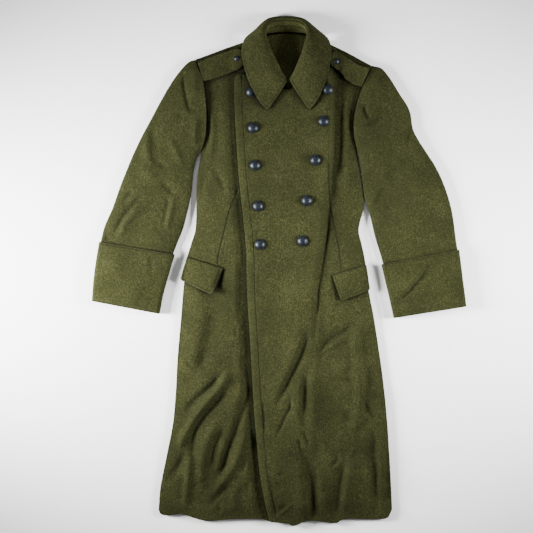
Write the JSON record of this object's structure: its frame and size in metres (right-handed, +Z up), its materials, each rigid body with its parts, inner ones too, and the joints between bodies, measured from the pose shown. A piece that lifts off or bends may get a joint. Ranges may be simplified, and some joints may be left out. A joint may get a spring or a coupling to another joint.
{
  "type": "military greatcoat laid flat",
  "caption": "Long double-breasted wool greatcoat laid flat on its back, buttoned, with a turned-down collar, shoulder straps, pocket flaps and deep turned-back cuffs.",
  "frame": {"origin": "under the middle of the coat's outline, on the surface that it lies on", "axes": "+X to the wearer's left (right in the picture), +Y from the hem to the collar, +Z up out of the cloth"},
  "size_m": [0.9, 1.2245, 0.041],
  "materials": {
    "wool_melton": "matt napped wool melton, olive drab",
    "wool_inside": "matt wool melton, shaded inner side",
    "button_metal": "stamped metal, dark blue-grey oxidised finish, semi-gloss"
  },
  "bodies": {
    "root": {"back": "wool_melton", "front_right": "wool_melton", "front_left": "wool_melton", "sleeve_right": "wool_melton", "sleeve_left": "wool_melton", "cuff_right": "wool_melton", "cuff_left": "wool_melton", "collar_fall": "wool_melton", "shoulder_strap_right": "wool_melton", "shoulder_strap_left": "wool_melton", "pocket_flap_right": "wool_melton", "pocket_flap_left": "wool_melton", "collar_stand": "wool_inside", "button_inner_1": "button_metal", "button_inner_2": "button_metal", "button_inner_3": "button_metal", "button_inner_4": "button_metal", "button_inner_5": "button_metal", "button_outer_1": "button_metal", "button_outer_2": "button_metal", "button_outer_3": "button_metal", "button_outer_4": "button_metal", "button_outer_5": "button_metal", "button_strap_right": "button_metal", "button_strap_left": "button_metal"}
  },
  "joints": []
}
